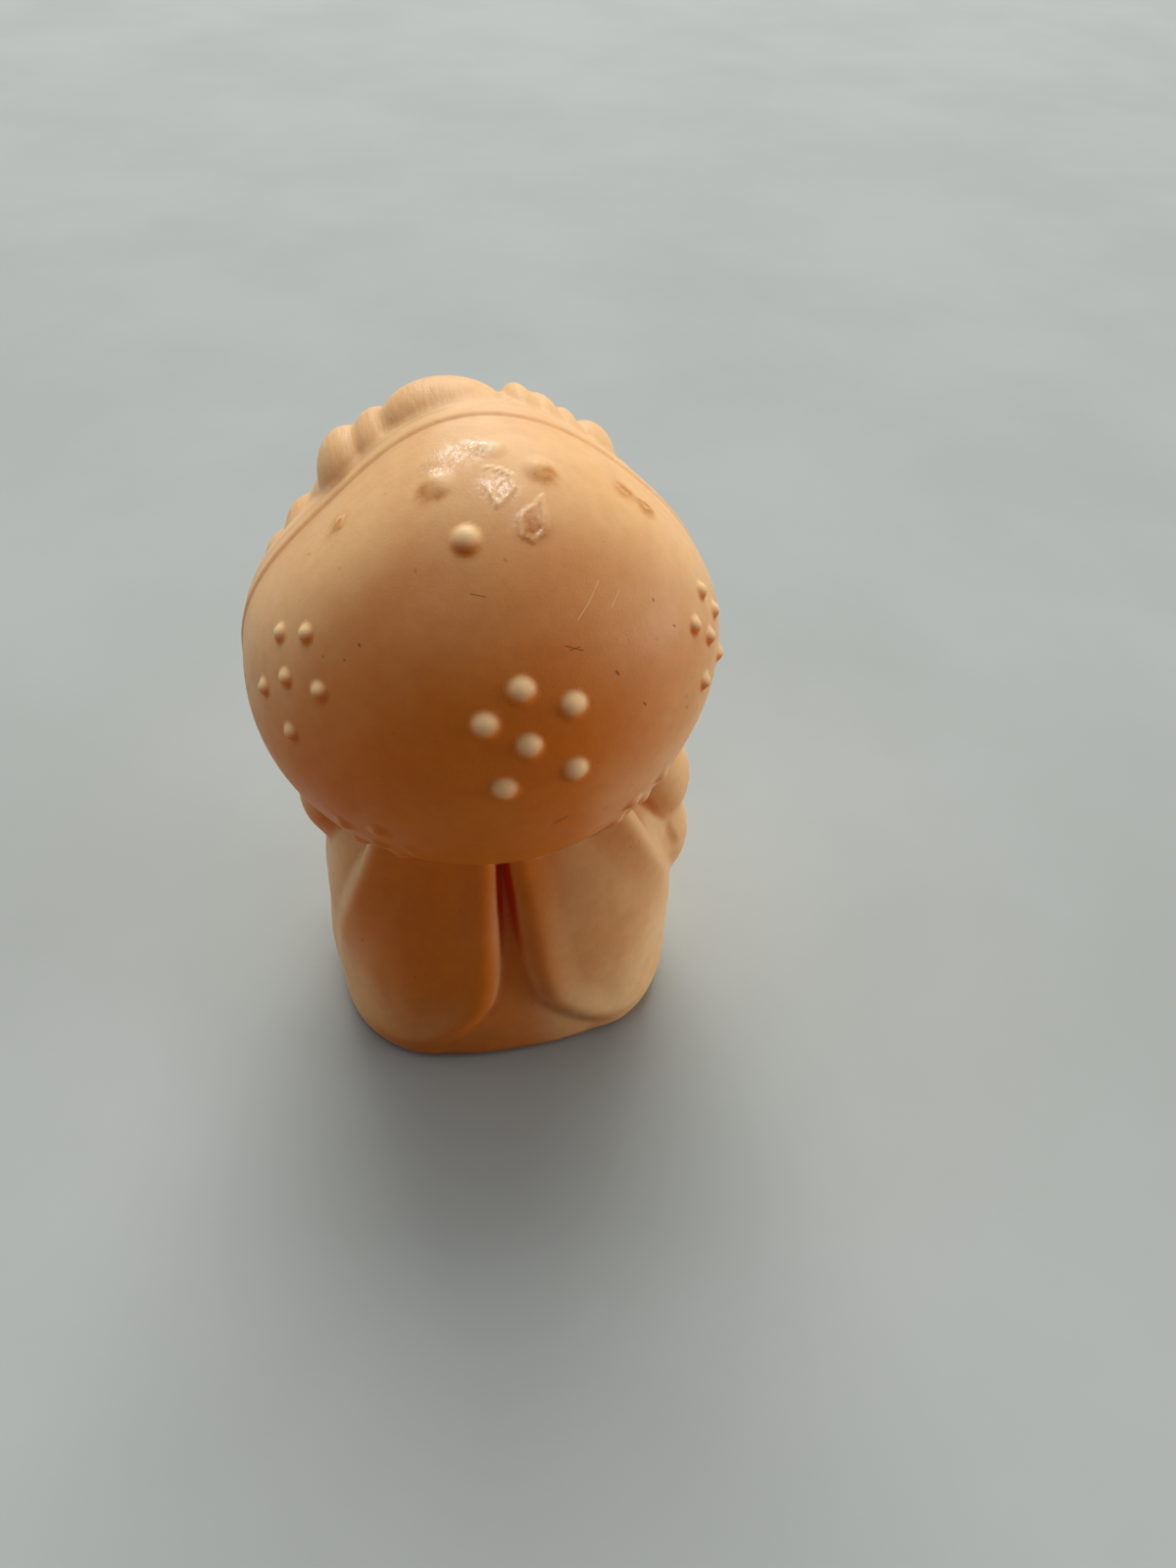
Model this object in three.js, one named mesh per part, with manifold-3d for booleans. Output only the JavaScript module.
// Rubber squeaky toy: a winged baby doll in a spotted bonnet, with a reed squeaker in its base.
// Millimetres, +Z up, the toy faces +Y, origin on the table under the middle of the neck.

import * as THREE from 'three';
import { mergeVertices } from 'three/addons/utils/BufferGeometryUtils.js';
import Module from 'manifold-3d';

const wasm = await Module();
wasm.setup();

// Rubber and clearances
const RUBBER_WALL = 2.2;
const BASE_THICKNESS = 3;
const SEAM_GAP = 0.3;
const HEAD_TO_SHOULDER = 1.7;

// Body
const BODY_HEIGHT = 33.9;
const BODY_HALF_WIDTH = 24.9;
const BODY_FRONT_DEPTH = 20.6;
const BODY_BACK_DEPTH = 21.7;
const BODY_SQUARENESS = 2.6;
const SPINE_RECESS = 2.6;
const BASE_ROUNDING = 3;
const SHOULDER_DROP = 13;
const SHOULDER_RADIUS = 16;
const FLANK_HALF_WIDTH = 6.8;
const FLANK_HALF_DEPTH = 9;
const FLANK_HALF_HEIGHT = 8.5;
const FLANK_SET_BACK = 5;

// Head
const HEAD_RADIUS = 30;
const CROWN_INSET = 1.7;
const SIDE_INSET = 0.4;
const SLANT_INSET = 3.2;
const INSET_FROM = -0.6;
const INSET_TO = 0.13;
const FACE_SLANT_FULL = 0.3;
const FACE_SLANT_GONE = 0.8;
const FACE_INSET = 1.1;
const FACE_WIDENING = 1.2;
const HEM_BACK_Y = 2.5;
const HEM_WIDTH = 3.8;
const HEM_RISE = 0.6;
const DOT_RADIUS = 1.75;
const DOT_RISE = 1.15;
const DOT_RING_RADIUS = 6;
const DOTS_IN_RING = 5;
const CURL_HALF_WIDTH = 4.2;
const CURL_RISE = 1.4;
const CURL_BAND_WIDTH = 4;
const CURL_BAND_THICKNESS = 0.8;
const CURL_STRETCH = 1.3;
const NOSE_RADIUS = 2.6;
const NOSE_RISE = 2.3;
const NOSE_DROP = 3.2;
const CHEEK_RADIUS = 8;
const CHEEK_RISE = 1;
const CHEEK_SPACING = 24;
const CHEEK_DROP = 8;
const EYELID_HALF_WIDTH = 4.4;
const EYELID_HALF_HEIGHT = 3;
const EYELID_RISE = 0.9;
const EYE_SPACING = 20;
const EYE_LIFT = 1;

// Neck swivel
const PLUG_RADIUS = 8;
const PLUG_WALL = 2;
const PLUG_FLANGE_RADIUS = 10;
const PLUG_FLANGE_THICKNESS = 2;
const PLUG_CLEARANCE = 0.35;
const RING_WALL = 2.6;
const RING_FLANGE_REACH = 1.8;
const RING_FLANGE_THICKNESS = 1.1;

// Wings, arms and feet
const WING_HEIGHT = 52;
const WING_GIRTH = 32;
const WING_SPACING = 1.6;
const WING_DEPTH = 6.5;
const WING_EDGE_SHARE = 0.1;
const WING_ROUNDING = 1.4;
const WING_BASE_Z = 2;
const WING_PROUD = 1.2;
const WING_DRAWN_IN = 4.2;
const WING_DRAWN_FROM_Z = 18;
const WING_DRAWN_TO_Z = 44;
const PUFF_RADII = [7.2, 7.6, 7.8];
const SLEEVE_RADII = [6.5, 8.4, 8.2];
const PUFF_Z = 38.5;
const SLEEVE_Z = 27;
const ELBOW_Z = 21;
const FOREARM_RADIUS = 4.6;
const FOREARM_PROUD = 2.6;
const HAND_RADIUS = 5;
const HAND_SPACING = 17;
const HAND_Z = 25;
const HAND_SINK = 1.5;
const FOOT_HALF_WIDTH = 7;
const FOOT_HALF_LENGTH = 9.5;
const FOOT_HEIGHT = 10;
const FOOT_SOLE_CUT = 1;
const FOOT_REACH = 7.6;
const FOOT_INSET = 15.4;

// Squeaker
const CUP_RADIUS = 8;
const CUP_WALL = 1;
const CUP_HEIGHT = 12.5;
const CUP_LIP = 1.5;
const CUP_FLANGE_REACH = 1.4;
const CUP_FLANGE_THICKNESS = 1;
const CUP_RECESS = 0.6;
const CAP_THICKNESS = 1.3;
const SOUND_HOLE_RADIUS = 1.5;
const REED_THICKNESS = 0.3;
const REED_WIDTH = 5;
const REED_ROOT = 2.2;
const REED_FREE_LENGTH = 4.4;
const REED_CLEARANCE = 0.3;
const BLOCK_HEIGHT = 4.4;
const AIR_CHANNEL_WIDTH = 3;
const AIR_CHANNEL_DEPTH = 1.6;

// Facets
const BODY_SEGMENTS = 36;
const WING_SEGMENTS = 32;
const LUMP_SEGMENTS = 16;
const HAND_SEGMENTS = 12;
const CURL_SEGMENTS = 12;
const FOREARM_STEPS = 6;
const FOREARM_SEGMENTS = 10;
const DOT_SEGMENTS = 8;
const SMALL_SEGMENTS = 24;
const PROFILE_STEPS = 11;

// Heights and places that follow from the sizes above
const SHOULDER_SPHERE = HEAD_RADIUS + HEAD_TO_SHOULDER;
const HEM_FRONT_Y = HEM_BACK_Y + HEM_WIDTH;
const CURL_ROW_Y = HEM_FRONT_Y + SEAM_GAP;
const FACE_RADIUS = HEAD_RADIUS - FACE_INSET;
const FACE_HALF_WIDTH = FACE_RADIUS + FACE_WIDENING;
const RING_BORE = PLUG_RADIUS + PLUG_CLEARANCE;
const RING_RADIUS = RING_BORE + RING_WALL;
const NECK_OPENING = RING_RADIUS + SEAM_GAP;
const RING_TOP_Z = BODY_HEIGHT + SEAM_GAP + RING_FLANGE_THICKNESS;
const HEAD_SEAT_HEIGHT = Math.sqrt((HEAD_RADIUS + HEM_RISE) ** 2 - RING_BORE ** 2);
const HEAD_CENTRE = new THREE.Vector3(0, 0, RING_TOP_Z + SEAM_GAP + HEAD_SEAT_HEIGHT);
const RING_BOTTOM_Z = BODY_HEIGHT - RUBBER_WALL - SEAM_GAP - RING_FLANGE_THICKNESS;
const CUP_HOLE = CUP_RADIUS + SEAM_GAP;
const CUP_SEAT_RADIUS = CUP_RADIUS + CUP_FLANGE_REACH + SEAM_GAP;
const CUP_SEAT_Z = CUP_RECESS + CUP_FLANGE_THICKNESS + SEAM_GAP;
const CUP_BORE = CUP_RADIUS - CUP_WALL;
const CUP_TOP_Z = CUP_RECESS + CUP_HEIGHT;

const SKIN_COLOUR = 0xdb935b;
const SQUEAKER_COLOUR = 0xe9e3d2;
const REED_COLOUR = 0xc8a24e;
const RUBBER_ROUGHNESS = 0.55;
const SQUEAKER_ROUGHNESS = 0.4;
const REED_ROUGHNESS = 0.3;

const toy = new THREE.Group();

function solidOf(geometry) {
  const bare = geometry.clone();
  for (const name of Object.keys(bare.attributes)) {
    if (name !== 'position') bare.deleteAttribute(name);
  }
  const merged = mergeVertices(bare, 1e-4);
  const mesh = new wasm.Mesh({
    numProp: 3,
    vertProperties: new Float32Array(merged.attributes.position.array),
    triVerts: new Uint32Array(merged.index.array),
  });
  return new wasm.Manifold(mesh);
}

function geometryOf(solid) {
  const mesh = solid.getMesh();
  const geometry = new THREE.BufferGeometry();
  geometry.setAttribute('position', new THREE.BufferAttribute(new Float32Array(mesh.vertProperties), 3));
  geometry.setIndex(new THREE.BufferAttribute(new Uint32Array(mesh.triVerts), 1));
  geometry.computeVertexNormals();
  return geometry;
}

function addPiece(name, solid, colour, roughness) {
  const material = new THREE.MeshStandardMaterial({ color: colour, roughness, metalness: 0 });
  const mesh = new THREE.Mesh(geometryOf(solid), material);
  mesh.name = name;
  toy.add(mesh);
}

function joined(solids) {
  return solids.reduce((sum, solid) => sum.add(solid));
}

// The same piece on the other side: mirrored, with its faces wound outwards again
function mirrored(solid) {
  const geometry = geometryOf(solid).scale(-1, 1, 1);
  geometry.index.array.reverse();
  return solidOf(geometry);
}

// Moves every vertex of a geometry to where a function of its place puts it
function moulded(geometry, placeOf) {
  const positions = geometry.attributes.position;
  const vertex = new THREE.Vector3();
  for (let index = 0; index < positions.count; index += 1) {
    vertex.copy(placeOf(vertex.fromBufferAttribute(positions, index)));
    positions.setXYZ(index, vertex.x, vertex.y, vertex.z);
  }
  return solidOf(geometry);
}

function unitBall(segments) {
  return new THREE.SphereGeometry(1, segments, segments / 2).rotateX(Math.PI / 2);
}

function ellipsoid(centre, radii, segments = LUMP_SEGMENTS) {
  const geometry = unitBall(segments);
  geometry.scale(radii[0], radii[1], radii[2]);
  geometry.translate(centre[0], centre[1], centre[2]);
  return solidOf(geometry);
}

function sphereAt(centre, radius, segments = LUMP_SEGMENTS) {
  return ellipsoid(centre, [radius, radius, radius], segments);
}

function box(low, high) {
  const size = high.map((value, axis) => value - low[axis]);
  const geometry = new THREE.BoxGeometry(size[0], size[1], size[2]);
  geometry.translate(low[0] + size[0] / 2, low[1] + size[1] / 2, low[2] + size[2] / 2);
  return solidOf(geometry);
}

// A shape turned about the Z axis from a profile of [radius, z] points, outside going up
function lathe(profile, segments) {
  const points = profile.map(([radius, z]) => new THREE.Vector2(radius, z));
  return new THREE.LatheGeometry(points, segments).rotateX(Math.PI / 2);
}

function turned(profile, segments = SMALL_SEGMENTS) {
  return solidOf(lathe([...profile, profile[0]], segments));
}

function disc(radius, lowZ, highZ, segments = SMALL_SEGMENTS) {
  const geometry = new THREE.CylinderGeometry(radius, radius, highZ - lowZ, segments);
  geometry.rotateX(Math.PI / 2);
  geometry.translate(0, 0, (lowZ + highZ) / 2);
  return solidOf(geometry);
}

// Everything in front of, or behind, a plane across Y, within reach of the head
function headSlab(fromY, toY) {
  const reach = HEAD_RADIUS * 2;
  return box([-reach, fromY, HEAD_CENTRE.z - reach], [reach, toY, HEAD_CENTRE.z + reach]);
}

function headDirection(azimuthDegrees, latitudeDegrees) {
  const azimuth = THREE.MathUtils.degToRad(azimuthDegrees);
  const latitude = THREE.MathUtils.degToRad(latitudeDegrees);
  const level = Math.cos(latitude);
  return new THREE.Vector3(Math.sin(azimuth) * level, -Math.cos(azimuth) * level, Math.sin(latitude));
}

// How far the plan of the body or the wings reaches in a direction: an oval with squared corners
function planReach(x, y, halfWidth, depth) {
  const length = Math.hypot(x, y);
  const wide = Math.abs(x / length / halfWidth) ** BODY_SQUARENESS;
  const deep = Math.abs(y / length / depth) ** BODY_SQUARENESS;
  return (wide + deep) ** (-1 / BODY_SQUARENESS);
}

// Body: a squarish upright skin with rounded shoulders, open at the neck and at the squeaker's hole
function bodyOutline(offset) {
  const side = new THREE.Path();
  side.moveTo(BODY_HALF_WIDTH - BASE_ROUNDING, 0);
  side.quadraticCurveTo(BODY_HALF_WIDTH, 0, BODY_HALF_WIDTH, BASE_ROUNDING);
  side.lineTo(BODY_HALF_WIDTH, BODY_HEIGHT - SHOULDER_DROP);
  side.quadraticCurveTo(BODY_HALF_WIDTH, BODY_HEIGHT, SHOULDER_RADIUS, BODY_HEIGHT);
  const outline = [];
  for (let step = 0; step <= PROFILE_STEPS; step += 1) {
    const point = side.getPointAt(step / PROFILE_STEPS);
    const tangent = side.getTangentAt(step / PROFILE_STEPS);
    outline.push([point.x + tangent.y * offset, point.y - tangent.x * offset]);
  }
  return outline;
}

// Gives a turned body its squarish plan and hollow spine; the round holes on its axis stay round
function bodyFrom(profile) {
  return moulded(lathe(profile, BODY_SEGMENTS), (vertex) => {
    const radius = Math.hypot(vertex.x, vertex.y);
    if (radius < NECK_OPENING) return vertex;
    const recess = SPINE_RECESS * THREE.MathUtils.smoothstep(vertex.z, 0, BODY_HEIGHT);
    const depth = vertex.y < 0 ? BODY_BACK_DEPTH - recess : BODY_FRONT_DEPTH;
    const reach = planReach(vertex.x, vertex.y, BODY_HALF_WIDTH, depth);
    const blend = THREE.MathUtils.smoothstep(radius, NECK_OPENING, SHOULDER_RADIUS);
    const share = 1 + (reach / BODY_HALF_WIDTH - 1) * blend;
    return vertex.set(vertex.x * share, vertex.y * share, vertex.z);
  });
}

function bodyEnvelope(offset) {
  return bodyFrom([[0, -offset], ...bodyOutline(offset), [0, BODY_HEIGHT + offset]]);
}

const headClear = sphereAt(HEAD_CENTRE.toArray(), SHOULDER_SPHERE, BODY_SEGMENTS);
const neckClear = disc(SHOULDER_RADIUS, 0, HEAD_CENTRE.z, BODY_SEGMENTS);
const tableReach = HEAD_RADIUS * 2;
const tableClear = box([-tableReach, -tableReach, -tableReach], [tableReach, tableReach, 0]);

// Flanks: the raised backs of the shoulders, which carry the upper wings
function flanks(offset) {
  const radii = [FLANK_HALF_WIDTH, FLANK_HALF_DEPTH, FLANK_HALF_HEIGHT].map((radius) => radius + offset);
  const place = [BODY_HALF_WIDTH - FLANK_HALF_WIDTH - RUBBER_WALL / 2, -FLANK_SET_BACK, BODY_HEIGHT];
  const right = ellipsoid(place, radii);
  return right.add(mirrored(right));
}

function bodyShell() {
  const ceilingZ = BODY_HEIGHT - RUBBER_WALL;
  const inside = bodyOutline(-RUBBER_WALL).filter(([, z]) => z > BASE_THICKNESS && z < ceilingZ).reverse();
  const shell = bodyFrom([
    [CUP_SEAT_RADIUS, 0],
    ...bodyOutline(0),
    [NECK_OPENING, BODY_HEIGHT],
    [NECK_OPENING, ceilingZ],
    [SHOULDER_RADIUS, ceilingZ],
    ...inside,
    [BODY_HALF_WIDTH - BASE_ROUNDING - RUBBER_WALL, BASE_THICKNESS],
    [CUP_HOLE, BASE_THICKNESS],
    [CUP_HOLE, CUP_SEAT_Z],
    [CUP_SEAT_RADIUS, CUP_SEAT_Z],
    [CUP_SEAT_RADIUS, 0],
  ]);
  const raised = flanks(0).subtract(bodyEnvelope(-RUBBER_WALL / 2)).subtract(headClear).subtract(neckClear);
  return shell.add(raised);
}

const bodyClear = bodyEnvelope(SEAM_GAP).add(flanks(SEAM_GAP));

// Wings: rounded petals in low relief that follow the curve of the back and lean in under the head
// Outline, from the top of the inner edge: shares of the girth from the back's middle, and of the height
const WING_OUTLINE = [
  [0, 0.88],
  [0.02, 0.57],
  [0.05, 0.32],
  [0.13, 0.17],
  [0.37, 0.03],
  [0.67, 0],
  [0.93, 0.08],
  [1, 0.21],
  [0.91, 0.38],
  [0.69, 0.65],
  [0.47, 0.92],
  [0.23, 1],
];
const WING_MIDDLE = new THREE.Vector2(0.4, 0.4);

// The petal is turned from a profile of [share of the way to its outline, depth], then bent round the back
function wing(gap) {
  const corners = WING_OUTLINE.map(([along, up]) => new THREE.Vector3(along, up, 0));
  const outline = new THREE.CatmullRomCurve3(corners, true, 'catmullrom', 0.5);
  const rim = 1 + 2 * gap / WING_GIRTH;
  const profile = [
    [0, -WING_DEPTH - gap],
    [rim / 2, -WING_DEPTH - gap],
    [rim, -WING_DEPTH - gap],
    [rim, gap - WING_ROUNDING],
    [rim - WING_EDGE_SHARE / 3, gap - WING_ROUNDING / 3],
    [rim - WING_EDGE_SHARE, gap],
    [rim * 2 / 3, gap],
    [rim / 3, gap],
    [0, gap],
  ];
  return moulded(lathe(profile, WING_SEGMENTS), (vertex) => {
    const turn = (Math.atan2(vertex.y, vertex.x) / (2 * Math.PI) + 1) % 1;
    const edge = outline.getPoint(turn);
    const spread = Math.hypot(vertex.x, vertex.y);
    const along = WING_GIRTH * (WING_MIDDLE.x + (edge.x - WING_MIDDLE.x) * spread);
    const z = WING_BASE_Z + WING_HEIGHT * (WING_MIDDLE.y + (edge.y - WING_MIDDLE.y) * spread);
    const angle = (WING_SPACING / 2 + along) / BODY_HALF_WIDTH;
    const drawnIn = WING_DRAWN_IN * THREE.MathUtils.smoothstep(z, WING_DRAWN_FROM_Z, WING_DRAWN_TO_Z);
    const back = BODY_BACK_DEPTH + WING_PROUD - drawnIn;
    const face = planReach(Math.sin(angle), Math.cos(angle), BODY_HALF_WIDTH + WING_PROUD, back);
    const reach = face + vertex.z;
    return vertex.set(Math.sin(angle) * reach, -Math.cos(angle) * reach, z);
  });
}

function clearWing() {
  return wing(0).subtract(bodyClear).subtract(headClear).subtract(neckClear);
}

// Arms: a puffed upper arm over a full sleeve at the side, a bent forearm and a hand on the tummy
function forearm(elbow, wrist) {
  const bend = new THREE.Vector3(elbow.x, wrist.y, elbow.z);
  const route = new THREE.QuadraticBezierCurve3(elbow, bend, wrist);
  const section = new THREE.Shape().absarc(0, 0, FOREARM_RADIUS, 0, Math.PI * 2);
  const along = { steps: FOREARM_STEPS, curveSegments: FOREARM_SEGMENTS, extrudePath: route };
  return solidOf(new THREE.ExtrudeGeometry(section, along));
}

// How far the puff and the sleeve of each arm stand out from the body's side, and how far forward they are
const RIGHT_ARM = { puffProud: 4, puffY: -3, sleeveProud: 3.7, sleeveY: -2.5 };
const LEFT_ARM = { puffProud: 2, puffY: 2.5, sleeveProud: 0.6, sleeveY: 1 };

function arm({ puffProud, puffY, sleeveProud, sleeveY }) {
  const puffX = BODY_HALF_WIDTH + puffProud - PUFF_RADII[0];
  const sleeveX = BODY_HALF_WIDTH + sleeveProud - SLEEVE_RADII[0];
  const puff = ellipsoid([puffX, puffY, PUFF_Z], PUFF_RADII);
  const sleeve = ellipsoid([sleeveX, sleeveY, SLEEVE_Z], SLEEVE_RADII);
  const elbow = new THREE.Vector3(BODY_HALF_WIDTH + FOREARM_PROUD - FOREARM_RADIUS, sleeveY, ELBOW_Z);
  const handY = planReach(HAND_SPACING / 2, BODY_FRONT_DEPTH, BODY_HALF_WIDTH, BODY_FRONT_DEPTH);
  const wrist = new THREE.Vector3(HAND_SPACING / 2, handY - HAND_SINK, HAND_Z);
  const hand = sphereAt(wrist.toArray(), HAND_RADIUS, HAND_SEGMENTS);
  const elbowTip = sphereAt(elbow.toArray(), FOREARM_RADIUS, HAND_SEGMENTS);
  return joined([puff, sleeve, elbowTip, forearm(elbow, wrist), hand])
    .subtract(bodyClear).subtract(headClear).subtract(neckClear).subtract(wing(SEAM_GAP));
}

// Feet: rounded toes under the front of the body, flat on the table
function foot() {
  const centre = [BODY_HALF_WIDTH - FOOT_INSET, BODY_FRONT_DEPTH + FOOT_REACH - FOOT_HALF_LENGTH,
    (FOOT_HEIGHT - FOOT_SOLE_CUT) / 2];
  const toes = ellipsoid(centre, [FOOT_HALF_WIDTH, FOOT_HALF_LENGTH, (FOOT_HEIGHT + FOOT_SOLE_CUT) / 2]);
  return toes.subtract(bodyClear).subtract(tableClear);
}

// Head: one hollow ball, parted at the hem into the bonnet behind and the face in front
// Shares of a place on the head: over the crown, out to the side, and on the slant half-way between them
function crownShares(direction) {
  const aside = direction.x ** 2 / (direction.x ** 2 + direction.z ** 2 + 1e-6);
  const over = direction.z > 0 ? 1 - aside : 0;
  return { over, aside, slant: 4 * over * aside };
}

// The bonnet's radius in a direction: a ball, drawn in a little towards the hem
function bonnetReach(direction) {
  const { over, aside, slant } = crownShares(direction);
  const inset = CROWN_INSET * over + SIDE_INSET * aside + SLANT_INSET * slant;
  return HEAD_RADIUS - inset * THREE.MathUtils.smoothstep(direction.y, INSET_FROM, INSET_TO);
}

function bonnetBall(offset, segments = BODY_SEGMENTS) {
  return moulded(unitBall(segments), (direction) => (
    direction.multiplyScalar(bonnetReach(direction) + offset).add(HEAD_CENTRE)
  ));
}

function neckHole() {
  return disc(PLUG_RADIUS + SEAM_GAP, 0, HEAD_CENTRE.z);
}

function dotCluster(azimuth, latitude, turnDegrees) {
  const outward = headDirection(azimuth, latitude);
  const up = new THREE.Vector3(0, 0, 1).addScaledVector(outward, -outward.z).normalize();
  const aside = new THREE.Vector3().crossVectors(up, outward);
  const directions = [outward];
  for (let dot = 0; dot < DOTS_IN_RING; dot += 1) {
    const angle = THREE.MathUtils.degToRad(turnDegrees + dot * 360 / DOTS_IN_RING);
    const sideways = aside.clone().multiplyScalar(Math.sin(angle)).addScaledVector(up, Math.cos(angle));
    const lean = DOT_RING_RADIUS / HEAD_RADIUS;
    directions.push(outward.clone().addScaledVector(sideways, Math.tan(lean)).normalize());
  }
  return directions;
}

// [azimuth from the back, latitude, turn] of each cluster of dots, in degrees
const DOT_CLUSTERS = [
  [0, 12, -7],
  [-58, 15, -60],
  [58, 15, 20],
  [0, 68, 0],
  [-38, -22, 30],
  [38, -22, -30],
];

function bonnetDots() {
  const dots = [];
  for (const cluster of DOT_CLUSTERS) {
    for (const direction of dotCluster(...cluster)) {
      const reach = bonnetReach(direction) + DOT_RISE - DOT_RADIUS;
      const centre = direction.multiplyScalar(reach).add(HEAD_CENTRE);
      dots.push(sphereAt(centre.toArray(), DOT_RADIUS, DOT_SEGMENTS));
    }
  }
  return joined(dots);
}

const headInside = bonnetBall(-RUBBER_WALL, SMALL_SEGMENTS);

function bonnet() {
  return bonnetBall(0).add(bonnetDots()).subtract(headInside).subtract(neckHole())
    .intersect(headSlab(-HEAD_RADIUS * 2, HEM_BACK_Y - SEAM_GAP));
}

function bonnetHem() {
  return bonnetBall(HEM_RISE).subtract(headInside).subtract(neckHole())
    .intersect(headSlab(HEM_BACK_Y, HEM_FRONT_Y));
}

// The face's own ball, a little shallower than the bonnet and drawn in on the same slants near the hem
function faceReach(direction) {
  const wide = Math.hypot(direction.x / FACE_HALF_WIDTH, Math.hypot(direction.y, direction.z) / FACE_RADIUS);
  const nearHem = 1 - THREE.MathUtils.smoothstep(direction.y, FACE_SLANT_FULL, FACE_SLANT_GONE);
  return 1 / wide - SLANT_INSET * crownShares(direction).slant * nearHem;
}

function faceBall(offset) {
  return moulded(unitBall(BODY_SEGMENTS), (direction) => (
    direction.multiplyScalar(faceReach(direction) + offset).add(HEAD_CENTRE)
  ));
}

// A place on the face, measured across and up from its middle, and sunk below the skin
function onFace(x, up, sunk) {
  const y = FACE_RADIUS * Math.sqrt(1 - (x / FACE_HALF_WIDTH) ** 2 - (up / FACE_RADIUS) ** 2);
  return [x, y - sunk, HEAD_CENTRE.z + up];
}

function faceFeatures() {
  const lid = [EYELID_HALF_WIDTH, EYELID_HALF_HEIGHT, EYELID_HALF_HEIGHT];
  const features = [sphereAt(onFace(0, -NOSE_DROP, NOSE_RADIUS - NOSE_RISE), NOSE_RADIUS)];
  for (const side of [-1, 1]) {
    const eye = onFace(side * EYE_SPACING / 2, EYE_LIFT, EYELID_HALF_HEIGHT - EYELID_RISE);
    const cheek = onFace(side * CHEEK_SPACING / 2, -CHEEK_DROP, CHEEK_RADIUS - CHEEK_RISE);
    features.push(ellipsoid(eye, lid), sphereAt(cheek, CHEEK_RADIUS));
  }
  return joined(features);
}

function face() {
  const front = headSlab(HEM_FRONT_Y + SEAM_GAP, HEAD_RADIUS * 2);
  return faceBall(0).add(faceFeatures()).subtract(headInside).subtract(neckHole()).intersect(front);
}

// Curls of the fringe along the hem: [degrees from the crown to the right, width share]
const CURLS = [
  [-84, 1],
  [-66, 1.1],
  [-50, 1],
  [-36, 0.95],
  [-24, 0.9],
  [-7, 1.65],
  [15, 1.1],
  [28, 0.9],
  [44, 1.05],
  [62, 1.1],
  [82, 1],
];

function curl(angleDegrees, widthShare) {
  const halfWidth = CURL_HALF_WIDTH * widthShare;
  const angle = THREE.MathUtils.degToRad(angleDegrees);
  const direction = new THREE.Vector3(Math.sin(angle), 0, Math.cos(angle));
  const reach = faceReach(direction) + CURL_RISE - halfWidth;
  const centre = direction.clone().multiplyScalar(reach).add(HEAD_CENTRE);
  centre.y = CURL_ROW_Y + halfWidth / 2;
  return ellipsoid(centre.toArray(), [halfWidth, halfWidth * CURL_STRETCH, halfWidth], CURL_SEGMENTS);
}

function hairFringe() {
  const reach = HEAD_RADIUS * 2;
  const bandSpace = box([-reach, CURL_ROW_Y, HEAD_CENTRE.z],
    [reach, CURL_ROW_Y + CURL_BAND_WIDTH, HEAD_CENTRE.z + reach]);
  const band = faceBall(SEAM_GAP + CURL_BAND_THICKNESS).intersect(bandSpace);
  const curls = CURLS.map(([angle, share]) => curl(angle, share));
  return joined(curls).add(band).intersect(headSlab(CURL_ROW_Y, reach)).subtract(faceBall(SEAM_GAP));
}

// Neck: the head's hollow plug snaps through a ring in the body's top opening and turns in it
function neckPlug() {
  const holeEdge = HEAD_CENTRE.z - Math.sqrt((HEAD_RADIUS - RUBBER_WALL) ** 2 - PLUG_FLANGE_RADIUS ** 2);
  const upperZ = holeEdge + SEAM_GAP;
  const lowerZ = RING_BOTTOM_Z - PLUG_CLEARANCE;
  const bore = PLUG_RADIUS - PLUG_WALL;
  return turned([
    [bore, lowerZ - PLUG_FLANGE_THICKNESS],
    [PLUG_FLANGE_RADIUS, lowerZ - PLUG_FLANGE_THICKNESS],
    [PLUG_FLANGE_RADIUS, lowerZ],
    [PLUG_RADIUS, lowerZ],
    [PLUG_RADIUS, upperZ],
    [PLUG_FLANGE_RADIUS, upperZ],
    [PLUG_FLANGE_RADIUS, upperZ + PLUG_FLANGE_THICKNESS],
    [bore, upperZ + PLUG_FLANGE_THICKNESS],
  ]);
}

function neckRing() {
  const flange = RING_RADIUS + RING_FLANGE_REACH;
  return turned([
    [RING_BORE, RING_BOTTOM_Z],
    [flange, RING_BOTTOM_Z],
    [flange, RING_BOTTOM_Z + RING_FLANGE_THICKNESS],
    [RING_RADIUS, RING_BOTTOM_Z + RING_FLANGE_THICKNESS],
    [RING_RADIUS, RING_TOP_Z - RING_FLANGE_THICKNESS],
    [flange, RING_TOP_Z - RING_FLANGE_THICKNESS],
    [flange, RING_TOP_Z],
    [RING_BORE, RING_TOP_Z],
  ]);
}

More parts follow.
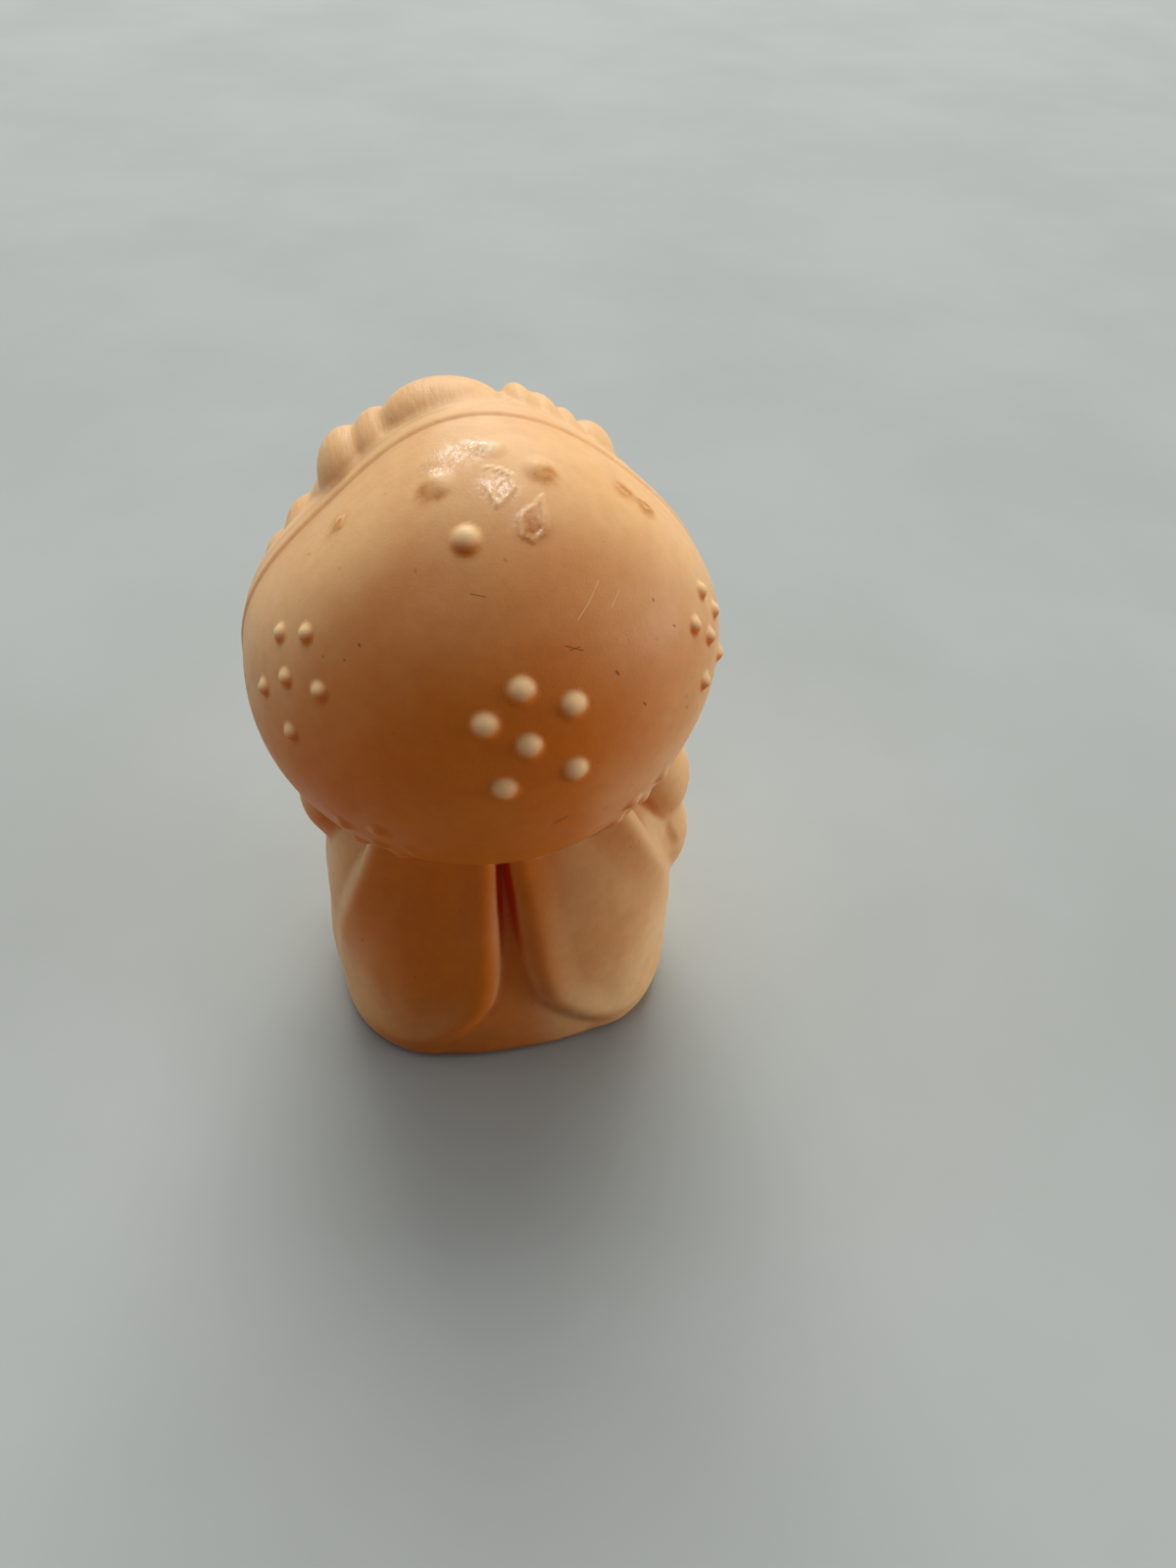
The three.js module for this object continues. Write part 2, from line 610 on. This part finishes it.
// Squeaker: a cup gripped by the base's lip, a cap with a sound hole, and a reed held in a split block
function squeakerCup() {
  const flange = CUP_RADIUS + CUP_FLANGE_REACH;
  const upperFlangeZ = BASE_THICKNESS + SEAM_GAP;
  return turned([
    [CUP_BORE, CUP_RECESS],
    [flange, CUP_RECESS],
    [flange, CUP_RECESS + CUP_FLANGE_THICKNESS],
    [CUP_RADIUS, CUP_RECESS + CUP_FLANGE_THICKNESS],
    [CUP_RADIUS, upperFlangeZ],
    [flange, upperFlangeZ],
    [flange, upperFlangeZ + CUP_FLANGE_THICKNESS],
    [CUP_RADIUS, upperFlangeZ + CUP_FLANGE_THICKNESS],
    [CUP_RADIUS, CUP_TOP_Z],
    [CUP_BORE - CUP_LIP, CUP_TOP_Z],
    [CUP_BORE - CUP_LIP, CUP_TOP_Z - CUP_WALL],
    [CUP_BORE, CUP_TOP_Z - CUP_WALL],
  ]);
}

function squeakerCap() {
  const rim = CUP_BORE - SEAM_GAP;
  return turned([
    [SOUND_HOLE_RADIUS, CUP_RECESS],
    [rim, CUP_RECESS],
    [rim, CUP_RECESS + CAP_THICKNESS],
    [SOUND_HOLE_RADIUS, CUP_RECESS + CAP_THICKNESS],
  ]);
}

const BLOCK_TOP_Z = CUP_TOP_Z - CUP_WALL - SEAM_GAP;
const BLOCK_BOTTOM_Z = BLOCK_TOP_Z - BLOCK_HEIGHT;
const REED_SLOT = REED_THICKNESS / 2 + REED_CLEARANCE;

function blockHalf(side) {
  const plug = disc(CUP_BORE - SEAM_GAP, BLOCK_BOTTOM_Z, BLOCK_TOP_Z);
  const low = side > 0 ? REED_SLOT : -CUP_RADIUS;
  const high = side > 0 ? CUP_RADIUS : -REED_SLOT;
  return plug.intersect(box([-CUP_RADIUS, low, 0], [CUP_RADIUS, high, CUP_TOP_Z]));
}

function reedBlock() {
  const halfChannel = AIR_CHANNEL_WIDTH / 2;
  const channel = box([-halfChannel, -REED_SLOT - AIR_CHANNEL_DEPTH, 0], [halfChannel, 0, CUP_TOP_Z]);
  return blockHalf(-1).subtract(channel);
}

function reed() {
  const low = [-REED_WIDTH / 2, -REED_THICKNESS / 2, BLOCK_BOTTOM_Z - REED_FREE_LENGTH];
  const high = [REED_WIDTH / 2, REED_THICKNESS / 2, BLOCK_BOTTOM_Z + REED_ROOT];
  return box(low, high);
}

addPiece('body_shell', bodyShell(), SKIN_COLOUR, RUBBER_ROUGHNESS);
addPiece('right_wing', clearWing(), SKIN_COLOUR, RUBBER_ROUGHNESS);
addPiece('left_wing', mirrored(clearWing()), SKIN_COLOUR, RUBBER_ROUGHNESS);
addPiece('right_arm', arm(RIGHT_ARM), SKIN_COLOUR, RUBBER_ROUGHNESS);
addPiece('left_arm', mirrored(arm(LEFT_ARM)), SKIN_COLOUR, RUBBER_ROUGHNESS);
addPiece('right_foot', foot(), SKIN_COLOUR, RUBBER_ROUGHNESS);
addPiece('left_foot', mirrored(foot()), SKIN_COLOUR, RUBBER_ROUGHNESS);
addPiece('neck_ring', neckRing(), SKIN_COLOUR, RUBBER_ROUGHNESS);
addPiece('neck_plug', neckPlug(), SKIN_COLOUR, RUBBER_ROUGHNESS);
addPiece('bonnet', bonnet(), SKIN_COLOUR, RUBBER_ROUGHNESS);
addPiece('bonnet_hem', bonnetHem(), SKIN_COLOUR, RUBBER_ROUGHNESS);
addPiece('face', face(), SKIN_COLOUR, RUBBER_ROUGHNESS);
addPiece('hair_fringe', hairFringe(), SKIN_COLOUR, RUBBER_ROUGHNESS);
addPiece('squeaker_cup', squeakerCup(), SQUEAKER_COLOUR, SQUEAKER_ROUGHNESS);
addPiece('squeaker_cap', squeakerCap(), SQUEAKER_COLOUR, SQUEAKER_ROUGHNESS);
addPiece('reed_block', reedBlock(), SQUEAKER_COLOUR, SQUEAKER_ROUGHNESS);
addPiece('reed_wedge', blockHalf(1), SQUEAKER_COLOUR, SQUEAKER_ROUGHNESS);
addPiece('reed', reed(), REED_COLOUR, REED_ROUGHNESS);

export default toy;
